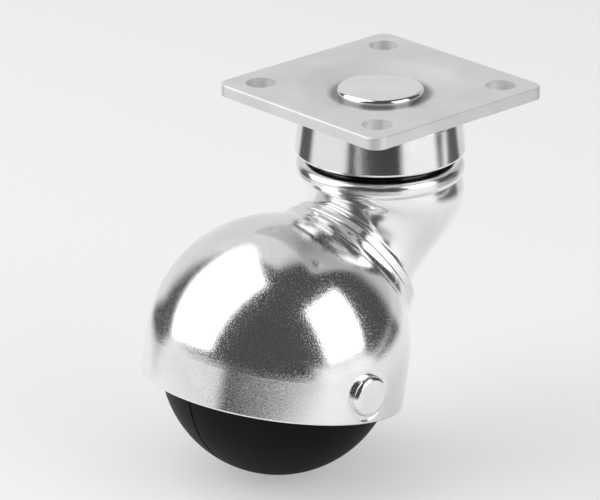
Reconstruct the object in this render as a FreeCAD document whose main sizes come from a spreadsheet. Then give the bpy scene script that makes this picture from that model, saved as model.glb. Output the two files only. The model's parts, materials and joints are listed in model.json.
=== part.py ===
import FreeCAD, Part
import math
import os
import re

import Sketcher
from FreeCAD import Placement, Rotation, Vector

# Ball castor with a screw-on plate. Millimetres and degrees. The origin is the centre of the
# plate's top face, on the swivel axis. +Z is up, the ball trails towards -X, the axle lies along Y.

SIZES = {
    # top plate
    "plate_side": 40,
    "plate_thickness": 2.1,
    "plate_corner_radius": 2.5,
    "plate_edge_round": 0.35,
    "hole_spacing": 29,
    "hole_diameter": 5.2,
    "dish_rim_radius": 14,
    "dish_floor_radius": 8.9,
    "dish_depth": 1.7,
    "dish_rim_round": 6,
    "dish_floor_round": 2,
    # king pin
    "pin_radius": 4,
    "pin_head_radius": 7.5,
    "pin_flat_radius": 5.1,
    "pin_head_drop": 0.1,
    "pin_rim_drop": 0.3,
    "pin_head_round": 0.8,
    "pin_foot_radius": 6,
    "pin_foot_height": 1.8,
    "pin_foot_round": 0.9,
    # swivel bearing
    "bearing_ball_radius": 1.6,
    "bearing_ball_gap": 0.3,
    "bearing_clearance": 0.05,
    "groove_depth": 0.35,
    "upper_race_setback": 3.2,
    "lower_race_setback": 2.3,
    "lower_race_clearance": 0.7,
    "lower_race_thickness": 1.4,
    # bearing cup
    "cup_wall": 1.2,
    "cup_radius": 14,
    "cup_shoulder_round": 1.8,
    "cup_height": 8,
    "cup_flare": 0.7,
    "cup_lip_round": 0.5,
    # neck
    "neck_wall": 1.2,
    "crown_clearance": 0.6,
    "crown_round": 1.2,
    "crown_hole_clearance": 0.6,
    "swivel_gap": 1.3,
    "bead_setback": 0.2,
    "bead_height": 3,
    "bead_round": 1.3,
    "crease_depth": 0.6,
    "heel_radius": 14,
    "heel_shift": 0.6,
    "heel_drop": 2.8,
    "heel_tilt": 9,
    "waist_radius": 12.3,
    "waist_reach": 1.8,
    "waist_drop": 7.4,
    "waist_tilt": 32,
    "neck_end_radius": 11.15,
    "neck_reach": 5.12,
    "neck_drop": 12.66,
    "ring_width": 1.75,
    "ring_height": 1.7,
    "ring_round": 0.35,
    "flare_round": 1,
    "spigot_fit": 0.05,
    "spigot_reach": 0.7,
    # hood
    "ball_gap": 1.25,
    "hood_wall": 1.2,
    "hood_lift": 2.2,
    "hood_tilt": 12,
    "skirt_length": 7.2,
    "rim_round": 0.3,
    "collar_angle": 34,
    "collar_radius": 13.6,
    "collar_fillet": 2.6,
    "collar_land": 0.24,
    "collar_round": 0.4,
    "axle_pad_radius": 4.6,
    "axle_pad_depth": 0.4,
    # axle, ball and spacers
    "axle_radius": 2.5,
    "axle_clearance": 0.05,
    "axle_head_radius": 3.6,
    "axle_head_height": 1.35,
    "axle_head_round": 0.9,
    "ball_radius": 20.25,
    "ball_wall": 3,
    "hub_trim": 0.8,
    "hub_radius": 7,
    "bush_radius": 3.8,
    "seam_width": 0.5,
    "seam_depth": 0.35,
    "lip_thickness": 1.4,
    "lip_height": 1.2,
    "lip_fit": 0.1,
    "rib_thickness": 1.8,
    "rib_setback": 0.6,
    "spacer_setback": 0.3,
    "spacer_play": 0.1,
}
RIB_COUNT = 6
FULL_TURN = 360

# Levels below the plate, as formulas in the sizes above.
CUP_TOP = "-(dish_depth + plate_thickness)"
CUP_CEILING = f"{CUP_TOP} - cup_wall"
CUP_FOOT = f"{CUP_TOP} - cup_height"
RUNNING_RADIUS = "(bearing_ball_radius + bearing_clearance)"
RACE_GAP = f"2 * ({RUNNING_RADIUS} - groove_depth)"
UPPER_BALL_LEVEL = f"{CUP_CEILING} - {RACE_GAP} / 2"
CROWN_TOP = f"{CUP_CEILING} - {RACE_GAP}"
CROWN_UNDER = f"{CROWN_TOP} - neck_wall"
LOWER_BALL_LEVEL = f"{CROWN_UNDER} - {RACE_GAP} / 2"
LOWER_RACE_TOP = f"{CROWN_UNDER} - {RACE_GAP}"
LOWER_RACE_UNDER = f"{LOWER_RACE_TOP} - lower_race_thickness"
BEAD_TOP = f"{CUP_FOOT} - swivel_gap"
BEAD_FOOT = f"{BEAD_TOP} - bead_height"
CUP_LIP_RADIUS = "(cup_radius + cup_flare)"
BEAD_RADIUS = f"({CUP_LIP_RADIUS} - bead_setback)"
NECK_TOP_RADIUS = f"({BEAD_RADIUS} - crease_depth)"
CROWN_RADIUS = "(cup_radius - cup_wall - crown_clearance)"
CROWN_INNER = f"({CROWN_RADIUS} - neck_wall)"
LOWER_RACE_RADIUS = f"({CROWN_INNER} - lower_race_clearance)"
UPPER_PITCH_RADIUS = f"({CROWN_RADIUS} - upper_race_setback)"
LOWER_PITCH_RADIUS = f"({LOWER_RACE_RADIUS} - lower_race_setback)"

# The hood, with heights from the dome's centre along the collar's slanted axis. The neck's end
# carries the hood, and the hood carries the axle.
HOOD_RADIUS = "(ball_radius + ball_gap + hood_wall)"
HOOD_INNER = "(ball_radius + ball_gap)"
HOOD_MIDDLE = "(ball_radius + ball_gap + hood_wall / 2)"
OPENING_RADIUS = "(neck_end_radius + spigot_fit)"
COLLAR_FOOT = f"(sqrt(({HOOD_RADIUS} + collar_fillet)^2 - (collar_radius + collar_fillet)^2))"
DOME_AT_OPENING = f"sqrt({HOOD_RADIUS}^2 - {OPENING_RADIUS}^2)"
COLLAR_SEAT = f"(max({COLLAR_FOOT} + collar_round; {DOME_AT_OPENING}) + collar_land)"
RING_TOP = f"({COLLAR_SEAT} + ring_height)"
FLARE_TOP = f"({RING_TOP} + flare_round)"
SPIGOT_END = f"(sqrt({HOOD_INNER}^2 - neck_end_radius^2) - spigot_reach)"
NECK_END_Z = f"({BEAD_FOOT} - neck_drop)"
DOME_X = f"(-neck_reach - {FLARE_TOP} * cos(collar_angle))"
DOME_Z = f"({NECK_END_Z} - {FLARE_TOP} * sin(collar_angle))"
AXLE_X = DOME_X
AXLE_Z = f"({DOME_Z} - hood_lift)"
PAD_FACE = f"({HOOD_RADIUS} - axle_pad_depth)"
PAD_INNER_FACE = f"sqrt({HOOD_INNER}^2 - axle_pad_radius^2)"
SPACER_RADIUS = "(axle_pad_radius - spacer_setback)"
BALL_INNER = "(ball_radius - ball_wall)"
HUB_FACE = "(ball_radius - hub_trim)"
SPACER_INNER_FACE = f"({HUB_FACE} + spacer_play)"

doc = FreeCAD.newDocument("BallCastor")
sheet = doc.addObject("Spreadsheet::Sheet", "Sizes")
for row, (alias, number) in enumerate(SIZES.items(), start=1):
    sheet.set(f"A{row}", alias.replace("_", " "))
    sheet.set(f"B{row}", str(number))
    sheet.setAlias(f"B{row}", alias)
doc.recompute()

WORD = re.compile(r"[a-z][a-z_]*")


def bound(formula):
    """Return a formula in size names as an expression on the sheet."""
    return WORD.sub(lambda m: f"Sizes.{m[0]}" if m[0] in SIZES else m[0], formula)


def value(formula):
    """Return what a formula in size names comes to."""
    return float(sheet.evalExpression(bound(formula)))


def bind(item, **formulas):
    """Bind properties of an object to formulas; a double underscore stands for a dot."""
    for path, formula in formulas.items():
        item.setExpression(path.replace("__", "."), bound(formula))


def new_body(label, turn=Rotation(), **place):
    """Add a body, turned, with its place bound to formulas."""
    body = doc.addObject("PartDesign::Body", label)
    body.Label = label
    body.Placement = Placement(Vector(0, 0, 0), turn)
    bind(body, **{f"Placement__{path}": formula for path, formula in place.items()})
    return body


def origin_feature(body, role):
    return next(item for item in body.Origin.OriginFeatures if item.Role == role)


def new_sketch(body, name, plane="XZ_Plane", turn=None, **shift):
    """Add a sketch on one of the body's planes, shifted by formulas and turned by (axis, formula)."""
    sketch = body.newObject("Sketcher::SketchObject", name)
    sketch.AttachmentSupport = [(origin_feature(body, plane), "")]
    sketch.MapMode = "FlatFace"
    if turn:
        axis, angle = turn
        sketch.AttachmentOffset = Placement(Vector(0, 0, 0), Rotation(axis, value(angle)))
        bind(sketch, AttachmentOffset__Rotation__Angle=angle)
    bind(sketch, **{f"AttachmentOffset__Base__{axis}": formula for axis, formula in shift.items()})
    return sketch


def dimension(sketch, kind, formula, *where):
    """Add one dimension to a sketch, bound to a formula."""
    index = sketch.addConstraint(Sketcher.Constraint(kind, *where, value(formula)))
    name = f"{kind}{index}"
    sketch.renameConstraint(index, name)
    bind(sketch, **{f"Constraints__{name}": formula})


def fix_point(sketch, geometry, end, corner):
    dimension(sketch, "DistanceX", corner[0], -1, 1, geometry, end)
    dimension(sketch, "DistanceY", corner[1], -1, 1, geometry, end)


def arc_between(start, end, radius, turn):
    """Arc of less than half a turn; turn is 1 anticlockwise from start to end, or -1."""
    chord = end - start
    reach = math.sqrt(radius**2 - (chord.Length / 2) ** 2)
    centre = (start + end) / 2 + Vector(-chord.y, chord.x, 0) * (turn * reach / chord.Length)
    first, last = (start, end) if turn > 0 else (end, start)
    angles = [math.atan2(p.y - centre.y, p.x - centre.x) for p in (first, last)]
    return Part.ArcOfCircle(Part.Circle(centre, Vector(0, 0, 1), radius), *angles)


def draw_outline(sketch, corners):
    """Closed outline. A corner is (across, up), or (across, up, radius, turn) where the next
    stretch is an arc."""
    points = [Vector(value(corner[0]), value(corner[1]), 0) for corner in corners]
    ends = []
    for index, corner in enumerate(corners):
        start, end = points[index], points[(index + 1) % len(points)]
        if len(corner) == 2:
            geometry = sketch.addGeometry(Part.LineSegment(start, end), False)
            ends.append((geometry, 1, 2))
            continue
        radius, turn = corner[2:]
        geometry = sketch.addGeometry(arc_between(start, end, value(radius), turn), False)
        ends.append((geometry, 1, 2) if turn > 0 else (geometry, 2, 1))
    for index, (geometry, first, last) in enumerate(ends):
        follower, its_first, _ = ends[(index + 1) % len(ends)]
        sketch.addConstraint(Sketcher.Constraint("Coincident", geometry, last, follower, its_first))
    for (geometry, first, _), corner in zip(ends, corners):
        fix_point(sketch, geometry, first, corner)
        if len(corner) > 2:
            dimension(sketch, "Radius", corner[2], geometry)
    return sketch


def draw_circle(sketch, radius, centre=("0", "0")):
    middle = Vector(value(centre[0]), value(centre[1]), 0)
    circle = Part.Circle(middle, Vector(0, 0, 1), value(radius))
    geometry = sketch.addGeometry(circle, False)
    fix_point(sketch, geometry, 3, centre)
    dimension(sketch, "Radius", radius, geometry)
    return sketch


def turned(body, kind, name, sketch):
    """Revolve or groove a sketch about its own upright axis."""
    feature = body.newObject(f"PartDesign::{kind}", name)
    feature.Profile = sketch
    feature.ReferenceAxis = (sketch, ["V_Axis"])
    feature.Angle = FULL_TURN
    doc.recompute()
    return feature


def turned_piece(label, corners, **body_place):
    """A piece of one turned outline."""
    body = new_body(label, **body_place)
    sketch = draw_outline(new_sketch(body, f"{label}_outline"), corners)
    turned(body, "Revolution", f"{label}_turn", sketch)
    return body


def extruded(body, kind, name, sketch, length=None, both_ways=False, reverse=False):
    """Pad or pocket a sketch, through everything where no length is given."""
    feature = body.newObject(f"PartDesign::{kind}", name)
    feature.Profile = sketch
    feature.Reversed = reverse
    if both_ways:
        feature.SideType = "Symmetric"
    if length:
        bind(feature, Length=length)
    else:
        feature.Type = "ThroughAll"
    doc.recompute()
    return feature


def rounded(body, name, radius, chosen):
    """Fillet the edges of the body's tip that the test picks out."""
    base = body.Tip
    names = [f"Edge{i}" for i, edge in enumerate(base.Shape.Edges, start=1) if chosen(edge)]
    fillet = body.newObject("PartDesign::Fillet", name)
    fillet.Base = (base, names)
    bind(fillet, Radius=radius)
    doc.recompute()
    return fillet


def is_circle(edge, radius, level):
    """True for a full circle about Z with this radius at this level."""
    return (
        not edge.Degenerated
        and isinstance(edge.Curve, Part.Circle)
        and math.isclose(edge.Curve.Radius, value(radius), abs_tol=1e-4)
        and math.isclose(edge.Curve.Center.z, value(level), abs_tol=1e-4)
    )


def ring_groove(body, name, pitch, level):
    """Race of round section for a row of bearing balls."""
    section = draw_circle(new_sketch(body, f"{name}_section"), RUNNING_RADIUS, (pitch, level))
    turned(body, "Groove", name, section)


def make_top_plate():
    """Pressed square plate with a round dish for the king pin's head and four screw holes."""
    body = new_body("top_plate")
    half = "plate_side / 2"
    edge = f"({half} - plate_corner_radius)"
    corner = ("plate_corner_radius", 1)
    square = draw_outline(
        new_sketch(body, "plate_square", "XY_Plane"),
        [
            (f"-{edge}", f"-{half}"),
            (edge, f"-{half}", *corner),
            (half, f"-{edge}"),
            (half, edge, *corner),
            (edge, half),
            (f"-{edge}", half, *corner),
            (f"-{half}", edge),
            (f"-{half}", f"-{edge}", *corner),
        ],
    )
    extruded(body, "Pad", "plate_sheet", square, "plate_thickness", reverse=True)
    rounded(
        body,
        "plate_edge",
        "plate_edge_round",
        lambda e: all(abs(v.Z) < 1e-6 for v in e.Vertexes),
    )

    floor, under = "-dish_depth", "-(dish_depth + plate_thickness)"
    slope = "atan(dish_depth / (dish_rim_radius - dish_floor_radius))"
    bend = f"plate_thickness * tan({slope} / 2)"
    hollow = [
        ("0", under),
        ("pin_radius", under),
        ("pin_radius", floor),
        ("dish_floor_radius", floor),
        ("dish_rim_radius", "0"),
        ("dish_rim_radius", "plate_thickness"),
        ("0", "plate_thickness"),
    ]
    turned(body, "Groove", "dish_hollow", draw_outline(new_sketch(body, "hollow_outline"), hollow))
    wall = [
        ("pin_radius", floor),
        ("dish_floor_radius", floor),
        ("dish_rim_radius", "0"),
        (f"dish_rim_radius + {bend}", "-plate_thickness"),
        (f"dish_floor_radius + {bend}", under),
        ("pin_radius", under),
    ]
    turned(body, "Revolution", "dish_wall", draw_outline(new_sketch(body, "dish_outline"), wall))
    rounded(body, "dish_rim", "dish_rim_round", lambda e: is_circle(e, "dish_rim_radius", "0"))
    rounded(body, "dish_floor", "dish_floor_round", lambda e: is_circle(e, "dish_floor_radius", floor))

    holes = new_sketch(body, "screw_hole_circles", "XY_Plane")
    for across in ("hole_spacing / 2", "-hole_spacing / 2"):
        for along in ("hole_spacing / 2", "-hole_spacing / 2"):
            draw_circle(holes, "hole_diameter / 2", (across, along))
    extruded(body, "Pocket", "screw_holes", holes)
    return body


def make_king_pin():
    """Headed pin: its flat head with a sloping rim sits flush in the dish, and its foot is peened
    under the lower race."""
    top = "-pin_head_drop"
    rim = f"{top} - pin_rim_drop"
    foot = f"{LOWER_RACE_UNDER} - pin_foot_height"
    return turned_piece(
        "king_pin",
        [
            ("0", foot),
            ("pin_foot_radius - pin_foot_round", foot, "pin_foot_round", 1),
            ("pin_foot_radius", f"{foot} + pin_foot_round"),
            ("pin_foot_radius", LOWER_RACE_UNDER),
            ("pin_radius", LOWER_RACE_UNDER),
            ("pin_radius", "-dish_depth"),
            ("pin_head_radius", "-dish_depth"),
            ("pin_head_radius", f"{rim} - pin_head_round", "pin_head_round", 1),
            ("pin_head_radius - pin_head_round", rim),
            ("pin_flat_radius", top),
            ("0", top),
        ],
    )


def make_bearing_cup():
    """Flared cup fixed under the dish; its ceiling is the upper race."""
    inner = "cup_radius - cup_wall"
    body = turned_piece(
        "bearing_cup",
        [
            ("pin_radius", CUP_CEILING),
            (inner, CUP_CEILING),
            (inner, CUP_FOOT),
            (f"{CUP_LIP_RADIUS} - cup_lip_round", CUP_FOOT, "cup_lip_round", 1),
            (CUP_LIP_RADIUS, f"{CUP_FOOT} + cup_lip_round"),
            ("cup_radius", f"{CUP_TOP} - cup_shoulder_round", "cup_shoulder_round", 1),
            ("cup_radius - cup_shoulder_round", CUP_TOP),
            ("pin_radius", CUP_TOP),
        ],
    )
    ring_groove(body, "upper_race_groove", UPPER_PITCH_RADIUS, UPPER_BALL_LEVEL)
    return body


def make_lower_race():
    """Flat ring on the king pin that carries the lower row of balls."""
    body = turned_piece(
        "lower_race",
        [
            ("pin_radius", LOWER_RACE_UNDER),
            (LOWER_RACE_RADIUS, LOWER_RACE_UNDER),
            (LOWER_RACE_RADIUS, LOWER_RACE_TOP),
            ("pin_radius", LOWER_RACE_TOP),
        ],
    )
    ring_groove(body, "lower_race_groove", LOWER_PITCH_RADIUS, LOWER_BALL_LEVEL)
    return body


def make_ball_row(label, pitch, level):
    """As many loose bearing balls as the row has room for, evenly spread round the swivel axis."""
    room = value(f"2 * pi * {pitch}")
    count = math.floor(room / value("2 * bearing_ball_radius + bearing_ball_gap"))
    balls = []
    for index in range(count):
        ball = doc.addObject("Part::Sphere", f"{label}_{index + 1:02}")
        ball.Label = ball.Name
        angle = FULL_TURN * index / count
        bind(
            ball,
            Radius="bearing_ball_radius",
            Placement__Base__x=f"{pitch} * cos({angle})",
            Placement__Base__y=f"{pitch} * sin({angle})",
            Placement__Base__z=level,
        )
        balls.append(ball)
    return balls


UP = Vector(0, 0, 1)
ACROSS = Vector(0, 1, 0)


def neck_sections(body, name, inset):
    """The circles that the neck's wall runs through, from the bead down to the slanted ring."""
    circles = [
        ("top", NECK_TOP_RADIUS, "0", "0", BEAD_FOOT),
        ("heel", "heel_radius", "heel_tilt", "heel_shift", f"{BEAD_FOOT} - heel_drop"),
        ("waist", "waist_radius", "waist_tilt", "-waist_reach", f"{BEAD_FOOT} - waist_drop"),
        ("end", "neck_end_radius", "90 - collar_angle", "-neck_reach", NECK_END_Z),
    ]
    sections = []
    for place, radius, tilt, across, level in circles:
        section = new_sketch(
            body, f"{name}_{place}", "XY_Plane", turn=(ACROSS, tilt), x=across, z=level
        )
        sections.append(draw_circle(section, f"{radius} - {inset}"))
    return sections


def lofted(body, kind, sections):
    """Smooth loft through a run of sections."""
    loft = body.newObject(f"PartDesign::{kind}", f"neck_{kind}")
    loft.Profile = sections[0]
    loft.Sections = sections[1:]
    doc.recompute()


def make_neck():
    """Pressed elbow: a bearing crown inside the cup, a shoulder bead, a lofted wall that leans
    over to the hood, and a ring and spigot that seat in the hood's collar."""
    body = new_body("neck")
    hole = "pin_radius + crown_hole_clearance"
    inside = f"{NECK_TOP_RADIUS} - neck_wall"
    bead_curl = "sqrt(2 * bead_round * crease_depth - crease_depth^2)"
    crown = [
        (hole, CROWN_TOP),
        (hole, CROWN_UNDER),
        (CROWN_INNER, CROWN_UNDER),
        (CROWN_INNER, f"{BEAD_TOP} - neck_wall"),
        (inside, f"{BEAD_TOP} - neck_wall"),
        (inside, BEAD_FOOT),
        (NECK_TOP_RADIUS, BEAD_FOOT, "bead_round", 1),
        (BEAD_RADIUS, f"{BEAD_FOOT} + {bead_curl}"),
        (BEAD_RADIUS, f"{BEAD_TOP} - bead_round", "bead_round", 1),
        (f"{BEAD_RADIUS} - bead_round", BEAD_TOP),
        (CROWN_RADIUS, BEAD_TOP),
        (CROWN_RADIUS, f"{CROWN_TOP} - crown_round", "crown_round", 1),
        (f"{CROWN_RADIUS} - crown_round", CROWN_TOP),
    ]
    turned(body, "Revolution", "crown", draw_outline(new_sketch(body, "crown_outline"), crown))
    ring_groove(body, "crown_upper_groove", UPPER_PITCH_RADIUS, UPPER_BALL_LEVEL)
    ring_groove(body, "crown_lower_groove", LOWER_PITCH_RADIUS, LOWER_BALL_LEVEL)

    lofted(body, "AdditiveLoft", neck_sections(body, "wall", "0"))
    lofted(body, "SubtractiveLoft", neck_sections(body, "hollow", "neck_wall"))

    bore = "neck_end_radius - neck_wall"
    band = "(neck_end_radius + ring_width)"
    ring = [
        (bore, SPIGOT_END),
        ("neck_end_radius", SPIGOT_END),
        ("neck_end_radius", COLLAR_SEAT),
        (f"{band} - ring_round", COLLAR_SEAT, "ring_round", 1),
        (band, f"{COLLAR_SEAT} + ring_round"),
        (band, f"{RING_TOP} - ring_round", "ring_round", 1),
        (f"{band} - ring_round", RING_TOP),
        ("neck_end_radius + flare_round", RING_TOP, "flare_round", -1),
        ("neck_end_radius", FLARE_TOP),
        (bore, FLARE_TOP),
    ]
    slanted = new_sketch(body, "ring_outline", turn=(UP, "collar_angle - 90"), x=DOME_X, y=DOME_Z)
    turned(body, "Revolution", "ring_and_spigot", draw_outline(slanted, ring))
    return body


def make_hood():
    """Deep-drawn dome with a straight skirt, leaning back, with a raised collar for the neck
    and flat pads for the axle. It is built about its own upright axis, from the dome's centre."""
    lean = Rotation(ACROSS, value("hood_tilt"))
    body = new_body("hood", lean, Base__x=DOME_X, Base__z=DOME_Z, Rotation__Angle="hood_tilt")
    shell = [
        ("0", HOOD_INNER, HOOD_INNER, -1),
        (HOOD_INNER, "0"),
        (HOOD_INNER, "-skirt_length"),
        (HOOD_RADIUS, "-skirt_length"),
        (HOOD_RADIUS, "0", HOOD_RADIUS, 1),
        ("0", HOOD_RADIUS),
    ]
    turned(body, "Revolution", "dome_and_skirt", draw_outline(new_sketch(body, "shell_outline"), shell))
    rounded(body, "rim", "rim_round", lambda e: is_circle(e, HOOD_RADIUS, "-skirt_length"))

    slant = (UP, "collar_angle + hood_tilt - 90")
    spread = f"((collar_radius + collar_fillet) / ({HOOD_RADIUS} + collar_fillet))"
    rise = f"({COLLAR_FOOT} / ({HOOD_RADIUS} + collar_fillet))"
    collar = [
        (OPENING_RADIUS, f"sqrt({HOOD_MIDDLE}^2 - {OPENING_RADIUS}^2)"),
        (f"{HOOD_MIDDLE} * {spread}", f"{HOOD_MIDDLE} * {rise}"),
        (f"{HOOD_RADIUS} * {spread}", f"{HOOD_RADIUS} * {rise}", "collar_fillet", -1),
        ("collar_radius", COLLAR_FOOT),
        ("collar_radius", f"{COLLAR_SEAT} - collar_round", "collar_round", 1),
        ("collar_radius - collar_round", COLLAR_SEAT),
        (OPENING_RADIUS, COLLAR_SEAT),
    ]
    collar_sketch = new_sketch(body, "collar_outline", turn=slant)
    turned(body, "Revolution", "collar", draw_outline(collar_sketch, collar))
    opening = [
        ("0", f"{HOOD_INNER} / 2"),
        (OPENING_RADIUS, f"{HOOD_INNER} / 2"),
        (OPENING_RADIUS, f"2 * {HOOD_RADIUS}"),
        ("0", f"2 * {HOOD_RADIUS}"),
    ]
    opening_sketch = new_sketch(body, "opening_outline", turn=slant)
    turned(body, "Groove", "neck_opening", draw_outline(opening_sketch, opening))

    axle = ("hood_lift * sin(hood_tilt)", "-hood_lift * cos(hood_tilt)")
    for side, sign, far in (("near", "", False), ("far", "-", True)):
        pad = new_sketch(body, f"{side}_pad_circle", z=f"{sign}{PAD_INNER_FACE}")
        draw_circle(pad, "axle_pad_radius", axle)
        extruded(body, "Pad", f"{side}_pad", pad, f"{PAD_FACE} - {PAD_INNER_FACE}", reverse=far)
        spot = new_sketch(body, f"{side}_spot_circle", z=f"{sign}{PAD_FACE}")
        draw_circle(spot, "axle_pad_radius", axle)
        extruded(body, "Pocket", f"{side}_spot", spot, reverse=not far)
    hole = draw_circle(new_sketch(body, "axle_hole_circle"), "axle_radius + axle_clearance", axle)
    extruded(body, "Pocket", "axle_holes", hole, both_ways=True)
    return body


# Pieces on the axle are made about Z and turned about X, so that their +Z points to one side.
TO_NEAR_SIDE = {"turn": Rotation(Vector(1, 0, 0), 90), "Base__x": AXLE_X, "Base__z": AXLE_Z}
TO_FAR_SIDE = {"turn": Rotation(Vector(1, 0, 0), -90), "Base__x": AXLE_X, "Base__z": AXLE_Z}


def make_axle():
    """Rivet through the hood, with a low rounded head at each end."""
    end = f"({PAD_FACE} + axle_head_height)"
    face = "axle_head_radius - axle_head_round"
    return turned_piece(
        "axle",
        [
            ("0", f"-{end}"),
            (face, f"-{end}", "axle_head_round", 1),
            ("axle_head_radius", f"-{end} + axle_head_round"),
            ("axle_head_radius", f"-{PAD_FACE}"),
            ("axle_radius", f"-{PAD_FACE}"),
            ("axle_radius", PAD_FACE),
            ("axle_head_radius", PAD_FACE),
            ("axle_head_radius", f"{end} - axle_head_round", "axle_head_round", 1),
            (face, end),
            ("0", end),
        ],
        **TO_NEAR_SIDE,
    )


def make_spacer(label, place):
    """Thrust washer between the hood's pad and the ball's hub."""
    bore = "axle_radius + axle_clearance"
    corners = [
        (bore, SPACER_INNER_FACE),
        (SPACER_RADIUS, SPACER_INNER_FACE),
        (SPACER_RADIUS, PAD_INNER_FACE),
        (bore, PAD_INNER_FACE),
    ]
    return turned_piece(label, corners, **place)


def make_hub_bush():
    """Sleeve through both ball halves; it turns on the axle."""
    bore = "axle_radius + axle_clearance"
    corners = [
        (bore, f"-{HUB_FACE}"),
        ("bush_radius", f"-{HUB_FACE}"),
        ("bush_radius", HUB_FACE),
        (bore, HUB_FACE),
    ]
    return turned_piece("hub_bush", corners, **TO_NEAR_SIDE)


def make_ball_half(label, place, has_lip):
    """Moulded half of the ball: a thick shell, a hub and ribs. One half has a lip at the joint,
    and the other has the rebate that it fits."""
    seam_top = "seam_width / 2"
    outside = [
        ("ball_radius - seam_depth", "0"),
        (f"sqrt(ball_radius^2 - ({seam_top})^2)", seam_top, "ball_radius", 1),
        (f"sqrt(ball_radius^2 - {HUB_FACE}^2)", HUB_FACE),
        ("bush_radius", HUB_FACE),
        ("bush_radius", "0"),
        ("hub_radius", "0"),
    ]
    ceiling = f"sqrt({BALL_INNER}^2 - hub_radius^2)"
    if has_lip:
        joint = [
            ("hub_radius", ceiling, BALL_INNER, -1),
            (BALL_INNER, "0"),
            (BALL_INNER, "-lip_height"),
            (f"{BALL_INNER} + lip_thickness", "-lip_height"),
            (f"{BALL_INNER} + lip_thickness", "0"),
        ]
    else:
        depth = "(lip_height + lip_fit)"
        joint = [
            ("hub_radius", ceiling, BALL_INNER, -1),
            (f"sqrt({BALL_INNER}^2 - {depth}^2)", depth),
            (f"{BALL_INNER} + lip_thickness + lip_fit", depth),
            (f"{BALL_INNER} + lip_thickness + lip_fit", "0"),
        ]
    body = turned_piece(label, outside + joint, **place)

    foot = "(lip_height + rib_setback)"
    root = "((hub_radius + bush_radius) / 2)"
    reach = "(ball_radius - ball_wall / 2)"
    rib_sketch = draw_outline(
        new_sketch(body, f"{label}_rib_outline"),
        [
            (root, foot),
            (f"sqrt({reach}^2 - {foot}^2)", foot, reach, 1),
            (root, f"sqrt({reach}^2 - {root}^2)"),
        ],
    )
    rib = extruded(body, "Pad", f"{label}_rib", rib_sketch, "rib_thickness", both_ways=True)
    ribs = body.newObject("PartDesign::PolarPattern", f"{label}_ribs")
    ribs.Originals = [rib]
    ribs.Axis = (origin_feature(body, "Z_Axis"), [""])
    ribs.Angle = FULL_TURN
    ribs.Occurrences = RIB_COUNT
    body.Tip = ribs
    doc.recompute()
    return body


pieces = [
    make_top_plate(),
    make_king_pin(),
    make_bearing_cup(),
    make_lower_race(),
    *make_ball_row("upper_ball", UPPER_PITCH_RADIUS, UPPER_BALL_LEVEL),
    *make_ball_row("lower_ball", LOWER_PITCH_RADIUS, LOWER_BALL_LEVEL),
    make_neck(),
    make_hood(),
    make_axle(),
    make_spacer("near_spacer", TO_NEAR_SIDE),
    make_spacer("far_spacer", TO_FAR_SIDE),
    make_hub_bush(),
    make_ball_half("ball_half_near", TO_NEAR_SIDE, has_lip=True),
    make_ball_half("ball_half_far", TO_FAR_SIDE, has_lip=False),
]
doc.recompute()

failed = [item.Label for item in doc.Objects if {"Invalid", "Error"} & set(item.State)]
failed += [p.Label for p in pieces if p.Shape.isNull() or not p.Shape.isValid()]
if failed:
    raise RuntimeError(f"these did not build: {failed}")

os.makedirs("parts", exist_ok=True)
for piece in pieces:
    piece.Shape.exportStep(f"parts/{piece.Label}.step")
    box = piece.Shape.BoundBox
    print(
        f"{piece.Label}: {len(piece.Shape.Solids)} solids, {piece.Shape.Volume:.0f} mm3,"
        f" {box.XLength:.2f} x {box.YLength:.2f} x {box.ZLength:.2f}, top {box.ZMax:.2f}"
    )
print(f"trail {-value(AXLE_X):.2f}, axle drop {-value(AXLE_Z):.2f}, hood radius {value(HOOD_RADIUS):.2f}")
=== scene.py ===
# %% [markdown]
# Ball castor
#
# This lesson dresses a ball castor: a screw-on plate, a swivel bearing, a pressed neck, a bright
# hood and a black ball. The solids come ready from the CAD model, finely faceted and in metres, so
# nothing is modelled here. The work is the finish of each surface, the light and the camera.

# %% Load the castor
import json
import math

import bpy
from mathutils import Matrix, Vector


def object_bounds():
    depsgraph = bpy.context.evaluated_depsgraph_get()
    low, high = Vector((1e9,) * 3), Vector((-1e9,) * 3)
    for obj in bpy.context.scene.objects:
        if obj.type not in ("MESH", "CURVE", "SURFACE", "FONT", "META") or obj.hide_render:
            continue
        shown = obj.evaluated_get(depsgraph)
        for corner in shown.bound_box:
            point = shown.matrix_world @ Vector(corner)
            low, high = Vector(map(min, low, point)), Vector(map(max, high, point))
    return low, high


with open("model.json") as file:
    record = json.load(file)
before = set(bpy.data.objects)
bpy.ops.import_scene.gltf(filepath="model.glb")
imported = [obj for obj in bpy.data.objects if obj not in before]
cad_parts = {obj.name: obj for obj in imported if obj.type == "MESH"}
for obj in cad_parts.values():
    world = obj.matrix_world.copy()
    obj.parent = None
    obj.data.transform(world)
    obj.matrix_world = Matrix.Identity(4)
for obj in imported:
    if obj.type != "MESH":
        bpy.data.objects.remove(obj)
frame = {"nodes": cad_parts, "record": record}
CAD_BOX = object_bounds()
MM = 0.001
bpy.ops.object.select_all(action="DESELECT")
print("nodes", sorted(frame["nodes"]))
print("box", [tuple(round(v, 4) for v in corner) for corner in CAD_BOX])

# %% [markdown]
# Camera
#
# The photograph was taken with a long lens from the ball's side, a little above the plate. A camera
# can be dragged until the picture fits, or placed by numbers. Numbers are used here, because each one
# has a plain meaning: the direction from the castor, the distance, and how far the castor sits off
# centre. The same compass directions later place the lamps and the tones of the room.

# %% Find the camera's directions
CAMERA_AZIMUTH = math.radians(-42.2)
CAMERA_ELEVATION = math.radians(21.69)
CAMERA_ROLL = math.radians(-0.35)
QUARTER_TURN = math.pi / 2


def direction(azimuth, elevation=0.0):
    """Unit vector away from the castor. Azimuth 0 is -Y, and grows towards +X."""
    level = math.cos(elevation)
    return Vector((math.sin(azimuth) * level, -math.cos(azimuth) * level, math.sin(elevation)))


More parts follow.
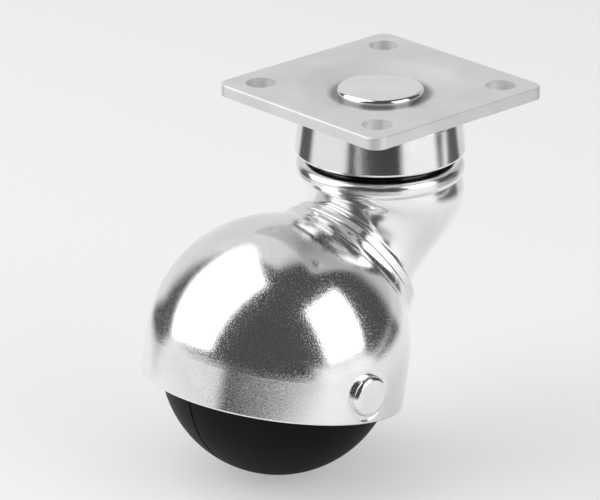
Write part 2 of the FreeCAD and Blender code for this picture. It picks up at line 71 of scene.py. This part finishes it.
ahead = direction(CAMERA_AZIMUTH)
level_right = direction(CAMERA_AZIMUTH + QUARTER_TURN)
back = direction(CAMERA_AZIMUTH, CAMERA_ELEVATION)
right = Matrix.Rotation(CAMERA_ROLL, 3, back) @ level_right
up = back.cross(right)
print("towards the camera", [round(v, 3) for v in back])

# %% Place the camera
CAMERA_DISTANCE = 670 * MM
CAMERA_RIGHT = -13.75 * MM
CAMERA_UP = -28.41 * MM
VIEW_ANGLE = math.radians(8.756)
CLIP_START = 10 * MM

camera_data = bpy.data.cameras.new("camera")
camera_data.sensor_fit = "HORIZONTAL"
camera_data.angle = VIEW_ANGLE
camera_data.clip_start = CLIP_START
camera = bpy.data.objects.new("camera", camera_data)
bpy.context.scene.collection.objects.link(camera)
turn = Matrix((right, up, back)).transposed().to_4x4()
place = right * CAMERA_RIGHT + up * CAMERA_UP + back * CAMERA_DISTANCE
camera.matrix_world = Matrix.Translation(place) @ turn
bpy.context.scene.camera = camera
print("camera at", [round(v, 3) for v in place])

# %% [markdown]
# Nodes
#
# Every surface and light tone here is a tree of shader nodes. In the editor they are dragged and wired
# with the mouse. In code the same few moves come back all the time: add a node, set or wire its inputs,
# do some arithmetic, and stretch a number from one range to another. Each gets a short helper, so that
# the cells below read as recipes.

# %% Helpers that add nodes
def feed(tree, socket, value):
    """Wire a value into a socket if it is a socket itself, and set it there if it is plain."""
    if isinstance(value, bpy.types.NodeSocket):
        tree.links.new(value, socket)
    else:
        socket.default_value = value


def add_node(tree, kind, **inputs):
    """Add a node and fill its inputs by name, where an underscore stands for a space."""
    node = tree.nodes.new(kind)
    for name, value in inputs.items():
        feed(tree, node.inputs[name.replace("_", " ")], value)
    return node


def fill_in_order(tree, node, values):
    """Fill a node's inputs one after the other."""
    for socket, value in zip(node.inputs, values):
        feed(tree, socket, value)


# %% Helpers that work out numbers
def add_math(tree, operation, *values):
    """Work out a number from other numbers."""
    node = tree.nodes.new("ShaderNodeMath")
    node.operation = operation
    fill_in_order(tree, node, values)
    return node.outputs["Value"]


def add_vector_math(tree, operation, *vectors):
    """Work out a vector or a number from vectors."""
    node = tree.nodes.new("ShaderNodeVectorMath")
    node.operation = operation
    fill_in_order(tree, node, vectors)
    return node.outputs


def part_along(tree, vector, axis):
    """How far a vector goes along one axis."""
    return add_vector_math(tree, "DOT_PRODUCT", vector, axis)["Value"]


def stretch(tree, number, start, end, low=0.0, high=1.0):
    """Turn a number between start and end into one between low and high."""
    reach = add_node(
        tree, "ShaderNodeMapRange", Value=number, From_Min=start, From_Max=end, To_Min=low, To_Max=high
    )
    return reach.outputs["Result"]


# %% [markdown]
# Room tones
#
# Bright metal shows the room more than itself. This castor stands in a small tent of white cloth: the
# side towards the camera is open and dark, there is a bright panel at each side, and the back is pale.
# The tent could be built from planes, but they would stand in the way of other views. A colour ramp
# over the compass direction holds its tones instead. It is read along the ray for the walls, and along
# the place on the floor for the table, so one helper serves both.

# %% Helper for room tones
HALF_TURN = 180


def grey(tone):
    """A colour with no tint."""
    return (tone, tone, tone, 1)


def room_tone(tree, vector, stretches, softness):
    """Tone by direction. A stretch is (first, last, tone) in degrees, from the camera to its right."""
    heading = add_math(
        tree, "ARCTAN2", part_along(tree, vector, level_right), part_along(tree, vector, ahead)
    )
    ramp = add_node(tree, "ShaderNodeValToRGB", Fac=stretch(tree, heading, -math.pi, math.pi))
    stops = ramp.color_ramp.elements
    # A new ramp has two stops of its own, and one has to stay until there are others.
    stops.remove(stops[1])
    for first, last, tone in stretches:
        for degrees in (first + softness, last - softness):
            stop = stops.new((degrees + HALF_TURN) / (2 * HALF_TURN))
            stop.color = grey(tone)
    stops.remove(stops[0])
    return ramp.outputs["Color"]


# %% [markdown]
# Floor
#
# The castor stands on white paper. A sheet that curves up behind it would hide the horizon, but it
# would show its bend from the other sides. One large flat plane looks the same all round and takes a
# soft shadow, so it is laid at the lowest point of the ball.

# %% Lay the floor
FLOOR_SIZE = 16.0

floor_level = CAD_BOX[0][2]
bpy.ops.mesh.primitive_plane_add(size=FLOOR_SIZE, location=(0, 0, floor_level))
floor = bpy.context.object
floor.name = "floor"
bpy.ops.object.transform_apply(location=True, rotation=True, scale=True)
bpy.ops.object.select_all(action="DESELECT")
print("floor at", round(floor_level, 4))

# %% [markdown]
# Paper
#
# Paper is matt, with hardly any shine. What is the same all over it is set straight on the shader, and
# a helper does that for this material and for the finishes further down.

# %% Matt paper
def start_finish(name, **constants):
    """Start a material and set what is the same all over it; an underscore stands for a space."""
    finish = bpy.data.materials.new(name)
    finish.use_nodes = True
    shader = finish.node_tree.nodes["Principled BSDF"]
    for socket, value in constants.items():
        shader.inputs[socket.replace("_", " ")].default_value = value
    return finish


paper = start_finish("floor_paper", Base_Color=grey(0.93), Roughness=0.85, Specular_IOR_Level=0.1)
paper_tree = paper.node_tree
floor.data.materials.append(paper)
print("floor finish", floor.data.materials[0].name)

# %% [markdown]
# Table
#
# Farther out than the paper, the metal mirrors the table: dark under the tent's open front and at its
# two back corners, white below the lit panels, with a pale strip that crosses the front at a slant.
# That strip is the light band along the foot of the hood. The table is worked out as one tone for each
# place on the floor, which costs nothing and can be tuned one stretch at a time.

# %% Tones of the table
TABLE_SOFTNESS = 4
TABLE_TONES = (
    (-180, -136, 0.8),
    (-136, -105, 0.1),
    (-105, -45, 0.85),
    (-45, 27, 0.05),
    (27, 79, 0.95),
    (79, 126, 0.1),
    (126, 152, 0.7),
    (152, 180, 0.8),
)
STRIP_SLANT = math.radians(38.7)
STRIP_MIDDLE = 166 * MM
STRIP_HALF = 22 * MM
STRIP_TONE = 1.1

spot = paper_tree.nodes.new("ShaderNodeTexCoord").outputs["Object"]
across_strip = part_along(paper_tree, spot, direction(CAMERA_AZIMUTH + STRIP_SLANT))
on_strip = add_math(paper_tree, "COMPARE", across_strip, STRIP_MIDDLE, STRIP_HALF)
strip_tone = add_math(paper_tree, "MULTIPLY", on_strip, STRIP_TONE)
open_tone = room_tone(paper_tree, spot, TABLE_TONES, TABLE_SOFTNESS)
table_tone = add_math(paper_tree, "MAXIMUM", open_tone, strip_tone)
print("table in", len(TABLE_TONES), "stretches")

# %% [markdown]
# What each ray sees
#
# Light Path tells the kinds of ray apart. Mirror rays see the table beyond the edge of the paper. The
# camera sees the paper with a share of even glow, which keeps the far floor as pale as the near one and
# still leaves the shadow. All other rays see plain paper, so matt surfaces get no light from the glow.

# %% Blend the floor
SHEET_FADES = 125 * MM
SHEET_ENDS = 180 * MM
FLOOR_TONE = 0.83
GLOW_SHARE = 0.45


def mix_shaders(tree, factor, first, second):
    """Blend from the first shader to the second."""
    node = tree.nodes.new("ShaderNodeMixShader")
    fill_in_order(tree, node, (factor, first, second))
    return node.outputs["Shader"]


rays = paper_tree.nodes.new("ShaderNodeLightPath").outputs
matt = paper_tree.nodes["Principled BSDF"].outputs["BSDF"]
table = add_node(paper_tree, "ShaderNodeEmission", Strength=table_tone).outputs["Emission"]
glow = add_node(paper_tree, "ShaderNodeEmission", Strength=FLOOR_TONE).outputs["Emission"]
from_origin = add_vector_math(paper_tree, "LENGTH", spot)["Value"]
past_sheet = stretch(paper_tree, from_origin, SHEET_FADES, SHEET_ENDS)
in_mirrors = add_math(paper_tree, "MULTIPLY", past_sheet, rays["Is Glossy Ray"])
to_camera = add_math(paper_tree, "MULTIPLY", rays["Is Camera Ray"], GLOW_SHARE)
mirrored = mix_shaders(paper_tree, in_mirrors, matt, table)
surface = mix_shaders(paper_tree, to_camera, mirrored, glow)
paper_tree.links.new(surface, paper_tree.nodes["Material Output"].inputs["Surface"])
print("paper fades from", SHEET_FADES, "to", SHEET_ENDS)

# %% [markdown]
# Soft boxes
#
# The two bright panels could glow as part of the room's tones. They are area lamps instead, because
# lamps show in the metal as clean white shapes and also light the castor and cast its shadow. The left
# one is tall and leans overhead, and the right one is smaller and lower. Both stop just above the
# floor, which leaves a thin dark line below their reflections.

# %% Hang the soft boxes
LAMP_TARGET = Vector((-12 * MM, 0, -35 * MM))
LAMP_BRIGHTNESS = 1.8


def hang_soft_box(name, azimuth, elevation, roll, distance, width, height):
    """Add a lamp that faces the castor. Angles are in degrees, azimuth from the camera to its right."""
    lamp = bpy.data.lights.new(name, "AREA")
    lamp.shape = "RECTANGLE"
    lamp.size = width
    lamp.size_y = height
    lamp.energy = LAMP_BRIGHTNESS * math.pi * width * height
    box = bpy.data.objects.new(name, lamp)
    bpy.context.scene.collection.objects.link(box)
    towards = direction(CAMERA_AZIMUTH + math.radians(azimuth), math.radians(elevation))
    facing = towards.to_track_quat("Z", "Y").to_matrix()
    turned = facing @ Matrix.Rotation(math.radians(roll), 3, "Z")
    box.matrix_world = Matrix.Translation(LAMP_TARGET + towards * distance) @ turned.to_4x4()
    print(name, "at", [round(v, 2) for v in box.location])


hang_soft_box("left_soft_box", azimuth=-89, elevation=40, roll=12, distance=0.6, width=0.64, height=0.92)
hang_soft_box("right_soft_box", azimuth=59, elevation=26, roll=0, distance=0.5, width=0.37, height=0.46)

# %% [markdown]
# World
#
# The world lights matt surfaces evenly from all round, so that a colour renders about as it is written.
# Mirror rays get the tent's walls from it instead: pale at the back, dark all round the front.

# %% Set the world
ROOM_FILL = 0.5
WALL_SOFTNESS = 6
WALL_TONES = (
    (-180, -136, 0.74),
    (-136, 126, 0.07),
    (126, 155, 0.55),
    (155, 180, 0.74),
)

world = bpy.data.worlds.new("studio")
bpy.context.scene.world = world
world.use_nodes = True
world_tree = world.node_tree
view = world_tree.nodes.new("ShaderNodeTexCoord").outputs["Generated"]
mirror_ray = world_tree.nodes.new("ShaderNodeLightPath").outputs["Is Glossy Ray"]
wall_tone = room_tone(world_tree, view, WALL_TONES, WALL_SOFTNESS)
seen = add_node(world_tree, "ShaderNodeMix", Factor=mirror_ray, A=ROOM_FILL, B=wall_tone)
background = world_tree.nodes["Background"]
background.inputs["Color"].default_value = grey(1)
world_tree.links.new(seen.outputs["Result"], background.inputs["Strength"])
bpy.context.scene.view_settings.view_transform = "Standard"
print("world in", len(WALL_TONES), "stretches")

# %% [markdown]
# Grain
#
# No real surface is one flat value. Plating has a fine grain and faint clouds, and moulded plastic has
# a skin. All of that comes from noise at its real size, read in the object's own coordinates, so that
# it stays put when the castor moves. The noise then drives the colour, the roughness and a slight bump.

# %% Helpers for grain
NOISE_REACH = (0.3, 0.7)


def shader_socket(finish, name):
    """One input of the finish's shader."""
    return finish.node_tree.nodes["Principled BSDF"].inputs[name]


def object_place(finish):
    """Place on the object, in metres."""
    return finish.node_tree.nodes.new("ShaderNodeTexCoord").outputs["Object"]


def noise(finish, size, detail=2.0):
    """Grain of this size in metres, around one half."""
    grain = add_node(
        finish.node_tree, "ShaderNodeTexNoise", Vector=object_place(finish), Scale=1 / size, Detail=detail
    )
    return grain.outputs["Fac"]


# %% Helpers for colour, roughness and bump
def set_colour(finish, factor, dark, pale):
    """Make the base colour a grey between dark and pale."""
    ramp = add_node(finish.node_tree, "ShaderNodeValToRGB", Fac=factor)
    for stop, position, tone in zip(ramp.color_ramp.elements, NOISE_REACH, (dark, pale)):
        stop.position = position
        stop.color = grey(tone)
    feed(finish.node_tree, shader_socket(finish, "Base Color"), ramp.outputs["Color"])


def set_roughness(finish, factor, low, high, reach=NOISE_REACH):
    """Make the roughness vary between low and high."""
    rough = stretch(finish.node_tree, factor, *reach, low, high)
    feed(finish.node_tree, shader_socket(finish, "Roughness"), rough)


def set_bump(finish, height, depth, strength):
    """Let a height tilt the surface; depth is in metres."""
    bump = add_node(finish.node_tree, "ShaderNodeBump", Height=height, Distance=depth, Strength=strength)
    feed(finish.node_tree, shader_socket(finish, "Normal"), bump.outputs["Normal"])


# %% [markdown]
# Bright plating
#
# The cup, the king pin and the axle are steel, pressed or turned to shape and then plated bright. One
# mirror-smooth value would look like computer chrome. Real plating is smooth between tiny pits, so the
# grain raises the roughness only where it peaks.

# %% Bright plated steel
PLATING_GRAIN = 0.2 * MM
PLATING_CLOUD = 6 * MM
PIT_REACH = (0.45, 0.8)


def plate_steel(name, smooth, pitted, grain_depth):
    """Plating that is smooth between pits of a rougher finish, on a fine grain."""
    finish = start_finish(name, Metallic=1.0)
    grain = noise(finish, PLATING_GRAIN, detail=1.0)
    set_colour(finish, noise(finish, PLATING_CLOUD), dark=0.84, pale=0.9)
    set_roughness(finish, grain, smooth, pitted, PIT_REACH)
    set_bump(finish, grain, grain_depth, strength=0.6)
    return finish


bright_plating = plate_steel("bright_plating", smooth=0.12, pitted=0.2, grain_depth=0.008 * MM)
print("made", bright_plating.name)

# %% [markdown]
# Drawn hood
#
# The hood is drawn deep from flat sheet, and the stretching leaves its skin grainier than the other
# pieces. It takes the same plating with deeper grain and rougher pits, which give the speckle at the
# edges of its bright reflections.

# %% Drawn plating of the hood
drawn_plating = plate_steel("drawn_plating", smooth=0.1, pitted=0.36, grain_depth=0.02 * MM)
print("made", drawn_plating.name)

# %% [markdown]
# Masks
#
# Some finishes change at a known place: in a groove, or above a level. Here the change is painted shade.
# A mask is a factor of 1 there and 0 elsewhere, with a short fade. It could be painted, but the places
# follow from the castor's own shape, so the masks are measured from its solids and stay right if a size
# changes.

# %% Helpers for masks
MIX_FIRST_COLOUR = 6
MIX_SECOND_COLOUR = 7
MIX_COLOUR_RESULT = 2
IN_PLAN = (1, 1, 0)


def near_axis(finish, radius, fade):
    """Mask of 1 within this radius of the swivel axis, which falls to 0 over the fade."""
    tree = finish.node_tree
    flat = add_vector_math(tree, "MULTIPLY", object_place(finish), IN_PLAN)["Vector"]
    out = add_vector_math(tree, "LENGTH", flat)["Value"]
    return stretch(tree, out, radius, radius + fade, 1.0, 0.0)


def darken(finish, mask, tone):
    """Blend the base colour towards one grey where the mask is 1; here that paints shade."""
    tree = finish.node_tree
    socket = shader_socket(finish, "Base Color")
    blend = tree.nodes.new("ShaderNodeMix")
    blend.data_type = "RGBA"
    feed(tree, blend.inputs["Factor"], mask)
    feed(tree, blend.inputs[MIX_FIRST_COLOUR], socket.links[0].from_socket)
    feed(tree, blend.inputs[MIX_SECOND_COLOUR], grey(tone))
    feed(tree, socket, blend.outputs[MIX_COLOUR_RESULT])


# %% [markdown]
# Painted shade on the crown
#
# The crown of the neck runs under the bearing cup, and the narrow gap between them lies in shadow and
# reads as a black line. A dark ring could be modelled there, but nothing real fills the gap. So the shade
# is painted: the neck's plating is darkened from just below the cup's lip upwards, inside the lip's
# radius.

# %% Neck plating with painted shade in the gap
GAP_SHADE_INSET = 1.6 * MM
GAP_SHADE_DEPTH = 1.5 * MM
GAP_SHADE_FADE = 0.3 * MM
GAP_SHADE_TONE = 0.02

gap_shaded_plating = plate_steel("gap_shaded_plating", smooth=0.17, pitted=0.24, grain_depth=0.008 * MM)
gap_shade_tree = gap_shaded_plating.node_tree
cup_corners = frame["nodes"]["bearing_cup"].bound_box
lip_radius = max(corner[0] for corner in cup_corners)
gap_shade_foot = min(corner[2] for corner in cup_corners) - GAP_SHADE_DEPTH
height = add_node(gap_shade_tree, "ShaderNodeSeparateXYZ", Vector=object_place(gap_shaded_plating)).outputs["Z"]
above = stretch(gap_shade_tree, height, gap_shade_foot, gap_shade_foot + GAP_SHADE_FADE)
inside = near_axis(gap_shaded_plating, lip_radius - GAP_SHADE_INSET, GAP_SHADE_FADE)
# Painted shade in the gap under the bearing cup, on the neck's crown.
darken(gap_shaded_plating, add_math(gap_shade_tree, "MULTIPLY", inside, above), GAP_SHADE_TONE)
print("grease above", round(gap_shade_foot, 4))

# %% [markdown]
# Satin plating
#
# The plate and the lower race are plated without polish, so they scatter light and look pale grey from
# most sides. A part-metallic shader with a middling roughness gives that. The groove round the king
# pin's head lies in shadow, and a mask paints that shade into the plating.

# %% Satin plated steel
SATIN_GRAIN = 0.35 * MM
SATIN_CLOUD = 9 * MM
SATIN_DEPTH = 0.01 * MM
GROOVE_WIDTH = 0.7 * MM
GROOVE_FADE = 1.2 * MM
GROOVE_SHADE_TONE = 0.25

satin_plating = start_finish("satin_plating", Metallic=0.55)
satin_grain = noise(satin_plating, SATIN_GRAIN, detail=3.0)
set_colour(satin_plating, noise(satin_plating, SATIN_CLOUD), dark=0.66, pale=0.73)
set_roughness(satin_plating, satin_grain, low=0.36, high=0.48)
set_bump(satin_plating, satin_grain, SATIN_DEPTH, strength=0.25)
head_radius = max(corner[0] for corner in frame["nodes"]["king_pin"].bound_box)
# Painted shade in the groove round the king pin's head.
darken(satin_plating, near_axis(satin_plating, head_radius + GROOVE_WIDTH, GROOVE_FADE), GROOVE_SHADE_TONE)
print("groove from", round(head_radius, 4))

# %% [markdown]
# Ground steel
#
# The bearing balls are hardened and ground, smoother and darker than the plating. They sit inside the
# bearing, so one grain for colour and roughness is enough.

# %% Ground bearing steel
GROUND_GRAIN = 0.5 * MM

ground_steel = start_finish("ground_steel", Metallic=1.0)
ground_grain = noise(ground_steel, GROUND_GRAIN)
set_colour(ground_steel, ground_grain, dark=0.62, pale=0.7)
set_roughness(ground_steel, ground_grain, low=0.1, high=0.16)
print("made", ground_steel.name)

# %% [markdown]
# Black moulding
#
# The ball is moulded in two halves from black plastic, with a semi-matt skin. A black that is too dark
# loses the round shape, and too much shine turns it grey. So the colour stays just above black, and the
# specular level is turned down until only a soft sheen is left.

# %% Black moulded plastic
BLACK_GRAIN = 0.3 * MM
BLACK_CLOUD = 7 * MM
BLACK_DEPTH = 0.01 * MM

black_moulding = start_finish("black_moulding", Specular_IOR_Level=0.08)
black_grain = noise(black_moulding, BLACK_GRAIN, detail=3.0)
set_colour(black_moulding, noise(black_moulding, BLACK_CLOUD), dark=0.004, pale=0.007)
set_roughness(black_moulding, black_grain, low=0.4, high=0.52)
set_bump(black_moulding, black_grain, BLACK_DEPTH, strength=0.3)
print("made", black_moulding.name)

# %% [markdown]
# Natural moulding
#
# The hub bush and the spacers are plain uncoloured plastic that slides well on steel. They hardly show,
# so a pale grey with a light grain does for them.

# %% Natural moulded plastic
NATURAL_GRAIN = 0.4 * MM

natural_moulding = start_finish("natural_moulding")
natural_grain = noise(natural_moulding, NATURAL_GRAIN)
set_colour(natural_moulding, natural_grain, dark=0.6, pale=0.68)
set_roughness(natural_moulding, natural_grain, low=0.45, high=0.55)
print("made", natural_moulding.name)

# %% [markdown]
# Dressing
#
# Each solid has a material slot in its record, so a table from slot to finish dresses nearly all of
# them. The neck and the hood have finishes of their own. The meshes stay as they are, and only what
# their material slots hold is replaced.

# %% Dress the nodes
SLOT_FINISHES = {
    "plated_steel": bright_plating,
    "satin_steel": satin_plating,
    "bearing_steel": ground_steel,
    "black_plastic": black_moulding,
    "bush_plastic": natural_moulding,
}
OWN_FINISHES = {"neck": gap_shaded_plating, "hood": drawn_plating}

for subpart in frame["record"]["subparts"]:
    name = subpart["node"]
    finish = OWN_FINISHES.get(name, SLOT_FINISHES[subpart["material_slot"]])
    slots = frame["nodes"][name].data.materials
    slots.clear()
    slots.append(finish)
print("dressed", len(frame["nodes"]), "nodes")
